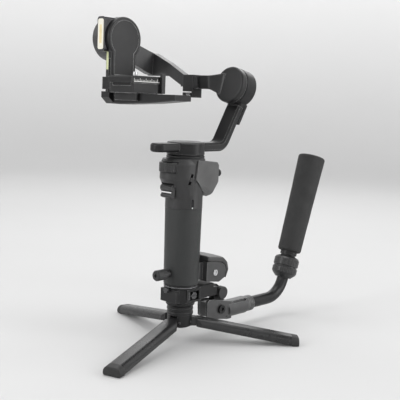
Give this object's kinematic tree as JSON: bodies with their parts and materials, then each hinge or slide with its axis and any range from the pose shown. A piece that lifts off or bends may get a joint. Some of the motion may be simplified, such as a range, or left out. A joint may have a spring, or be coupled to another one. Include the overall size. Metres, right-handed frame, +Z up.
{
  "type": "camera gimbal stabilizer",
  "caption": "Handheld camera stabilizer with motorised pan, roll and tilt arms, slotted handle head, wrist rest, folding sling handle and fold-out mini tripod.",
  "frame": {"origin": "middle of the whole outline on the floor that the feet stand on", "axes": "+Z up along the handle, -Y the way the camera looks, +Y towards the person holding it, +X to that person's left"},
  "size_m": [0.2706, 0.445, 0.418],
  "materials": {
    "black_plastic": "matte",
    "grip_rubber": "fine leather texture",
    "black_alloy": "satin anodised",
    "grey_plastic": "satin",
    "dark_metal": "satin",
    "bright_metal": "satin",
    "chrome_trim": "polished",
    "screen": "gloss",
    "gloss_black": "gloss",
    "foam": "closed-cell foam",
    "soft_pad": "soft touch",
    "foot_rubber": "matte",
    "copper": "wound wire",
    "board": "satin",
    "cell_wrap": "satin",
    "lamp_lens": "frosted",
    "lamp": "lit dot"
  },
  "bodies": {
    "handle": {"handle_tube": "black_alloy", "handle_grip": "grip_rubber", "battery_cells": "cell_wrap", "head_shell": "black_plastic", "control_panel": "black_plastic", "screen_glass": "screen", "main_board": "board", "usb_port": "gloss_black", "status_light": "lamp", "base_block": "black_alloy", "base_fittings": "dark_metal", "trim_rings": "chrome_trim", "tripod_hub": "black_alloy", "leg_hinge_pins": "bright_metal", "pan_motor_base": "black_alloy", "pan_stator": "copper", "wrist_rest_shell": "black_plastic", "wrist_rest_pad": "soft_pad", "sling_bracket": "black_alloy", "sling_pivot_bolt": "black_alloy"},
    "knob": {"front_knob": "black_alloy"},
    "wheel": {"front_wheel": "black_plastic"},
    "trigger": {"trigger": "black_plastic", "trigger_trim": "chrome_trim"},
    "yoke": {"joystick_yoke": "black_plastic"},
    "joystick": {"joystick_cap": "grip_rubber", "joystick_stalk": "black_plastic"},
    "record_key": {"record_button": "grey_plastic"},
    "power_key": {"power_button": "grey_plastic"},
    "mode_tab": {"mode_slider": "grey_plastic"},
    "rest_key": {"wrist_rest_button": "bright_metal"},
    "pan_arm": {"pan_arm": "black_alloy"},
    "roll_motor": {"roll_motor_housing": "black_alloy", "roll_stator": "copper"},
    "roll_latch": {"roll_lock_latch": "grey_plastic"},
    "roll_arm": {"roll_arm": "black_alloy", "cross_arm_clamp": "black_alloy"},
    "arm_screw": {"cross_arm_screw": "bright_metal"},
    "arm_lever": {"cross_arm_lever": "black_alloy"},
    "cross_arm": {"cross_arm": "black_alloy", "tilt_stator": "copper"},
    "tilt_bracket": {"tilt_bracket": "black_alloy", "fill_light_housing": "gloss_black", "fill_light_lens": "lamp_lens"},
    "crossbar": {"crossbar": "black_alloy"},
    "carriage": {"quick_release_base": "black_alloy"},
    "carriage_lever": {"quick_release_lever": "bright_metal"},
    "plate": {"camera_plate": "black_alloy"},
    "plate_screw": {"camera_screw": "bright_metal"},
    "sling_fork": {"sling_fork": "black_alloy"},
    "sling_knob": {"sling_lock_knob": "black_plastic"},
    "sling_tube": {"sling_tube": "black_alloy", "sling_grip": "foam"},
    "collar": {"sling_collar": "black_plastic"},
    "leg_1": {"tripod_leg_1": "black_plastic", "tripod_foot_1": "foot_rubber"},
    "leg_2": {"tripod_leg_2": "black_plastic", "tripod_foot_2": "foot_rubber"},
    "leg_3": {"tripod_leg_3": "black_plastic", "tripod_foot_3": "foot_rubber"}
  },
  "joints": [
    {"name": "front_knob_turn", "type": "hinge", "parent": "handle", "child": "knob", "pos_m": [0.01876, -0.09956, 0.093], "axis": [0, -1, 0], "continuous": true},
    {"name": "front_wheel_turn", "type": "hinge", "parent": "handle", "child": "wheel", "pos_m": [0.01876, -0.09416, 0.2285], "axis": [0, 0, 1], "continuous": true},
    {"name": "trigger_pull", "type": "hinge", "parent": "handle", "child": "trigger", "pos_m": [0.01876, -0.09756, 0.205], "axis": [1, 0, 0], "range_deg": [0, 7], "stiffness_Nm_per_rad": 0.02},
    {"name": "joystick_pitch", "type": "hinge", "parent": "handle", "child": "yoke", "pos_m": [0.02776, -0.03056, 0.219], "axis": [1, 0, 0], "range_deg": [-12, 12], "stiffness_Nm_per_rad": 0.004},
    {"name": "joystick_yaw", "type": "hinge", "parent": "yoke", "child": "joystick", "pos_m": [0.02776, -0.03056, 0.219], "axis": [0, 0, 1], "range_deg": [-12, 12], "stiffness_Nm_per_rad": 0.004},
    {"name": "record_press", "type": "slide", "parent": "handle", "child": "record_key", "axis": [0, -1, 0], "range_m": [0, 0.001], "stiffness_N_per_m": 500},
    {"name": "power_press", "type": "slide", "parent": "handle", "child": "power_key", "axis": [0, -1, 0], "range_m": [0, 0.0008], "stiffness_N_per_m": 500},
    {"name": "mode_slide", "type": "slide", "parent": "handle", "child": "mode_tab", "axis": [0, 0.2419, 0.9703], "range_m": [-0.004, 0.004]},
    {"name": "wrist_rest_press", "type": "slide", "parent": "handle", "child": "rest_key", "axis": [-1, 0, 0], "range_m": [0, 0.0015], "stiffness_N_per_m": 500},
    {"name": "pan_turn", "type": "hinge", "parent": "handle", "child": "pan_arm", "pos_m": [0.01876, -0.06956, 0.25], "axis": [0, 0, 1], "continuous": true},
    {"name": "pan_arm_adjust", "type": "slide", "parent": "pan_arm", "child": "roll_motor", "axis": [0, 0.5, 0.866], "range_m": [0, 0.012]},
    {"name": "roll_turn", "type": "hinge", "parent": "roll_motor", "child": "roll_arm", "pos_m": [0.01876, 0.00644, 0.3343], "axis": [0, 0.9781, -0.2079], "range_deg": [-30, 30]},
    {"name": "roll_latch_slide", "type": "slide", "parent": "roll_motor", "child": "roll_latch", "axis": [1, 0, 0], "range_m": [-0.0025, 0.0025]},
    {"name": "arm_screw_turn", "type": "hinge", "parent": "roll_arm", "child": "arm_screw", "pos_m": [-0.04074, -0.00556, 0.3184], "axis": [0, 1, 0], "continuous": true},
    {"name": "arm_lever_turn", "type": "hinge", "parent": "roll_arm", "child": "arm_lever", "pos_m": [-0.02874, -0.00556, 0.331], "axis": [0, 1, 0], "range_deg": [0, 90]},
    {"name": "cross_arm_adjust", "type": "slide", "parent": "roll_arm", "child": "cross_arm", "axis": [-1, 0, 0], "range_m": [0, 0.022]},
    {"name": "tilt_turn", "type": "hinge", "parent": "cross_arm", "child": "tilt_bracket", "pos_m": [-0.10124, -0.07456, 0.389], "axis": [1, 0, 0], "range_deg": [-100, 38]},
    {"name": "crossbar_lift", "type": "slide", "parent": "tilt_bracket", "child": "crossbar", "axis": [0, 0, 1], "range_m": [0, 0.022]},
    {"name": "carriage_adjust", "type": "slide", "parent": "crossbar", "child": "carriage", "axis": [1, 0, 0], "range_m": [0, 0.055]},
    {"name": "carriage_lever_turn", "type": "hinge", "parent": "carriage", "child": "carriage_lever", "pos_m": [-0.03524, -0.06206, 0.322], "axis": [1, 0, 0], "range_deg": [0, 60]},
    {"name": "plate_adjust", "type": "slide", "parent": "carriage", "child": "plate", "axis": [0, -1, 0], "range_m": [-0.01, 0.02]},
    {"name": "camera_screw_turn", "type": "hinge", "parent": "plate", "child": "plate_screw", "pos_m": [-0.06124, -0.08656, 0.33], "axis": [0, 0, 1], "continuous": true},
    {"name": "sling_fold", "type": "hinge", "parent": "handle", "child": "sling_fork", "pos_m": [0.01876, 0.00044, 0.033], "axis": [1, 0, 0], "range_deg": [0, 20]},
    {"name": "sling_knob_turn", "type": "hinge", "parent": "handle", "child": "sling_knob", "pos_m": [0.02876, -0.00256, 0.057], "axis": [1, 0, 0], "continuous": true},
    {"name": "sling_extend", "type": "slide", "parent": "sling_fork", "child": "sling_tube", "axis": [0, 1, 0], "range_m": [0, 0.018]},
    {"name": "collar_turn", "type": "hinge", "parent": "sling_tube", "child": "collar", "pos_m": [0.01876, 0.15189, 0.07039], "axis": [0, 0.3057, 0.9521], "range_deg": [0, 90]},
    {"name": "leg_fold_1", "type": "hinge", "parent": "handle", "child": "leg_1", "pos_m": [0.02813, -0.05985, 0.029], "axis": [-0.7193, 0.6947, 0], "range_deg": [0, 75]},
    {"name": "leg_fold_2", "type": "hinge", "parent": "handle", "child": "leg_2", "pos_m": [0.02248, -0.08254, 0.029], "axis": [0.9613, 0.2756, 0], "range_deg": [0, 75]},
    {"name": "leg_fold_3", "type": "hinge", "parent": "handle", "child": "leg_3", "pos_m": [0.00566, -0.0663, 0.029], "axis": [-0.2419, -0.9703, 0], "range_deg": [0, 75]}
  ]
}
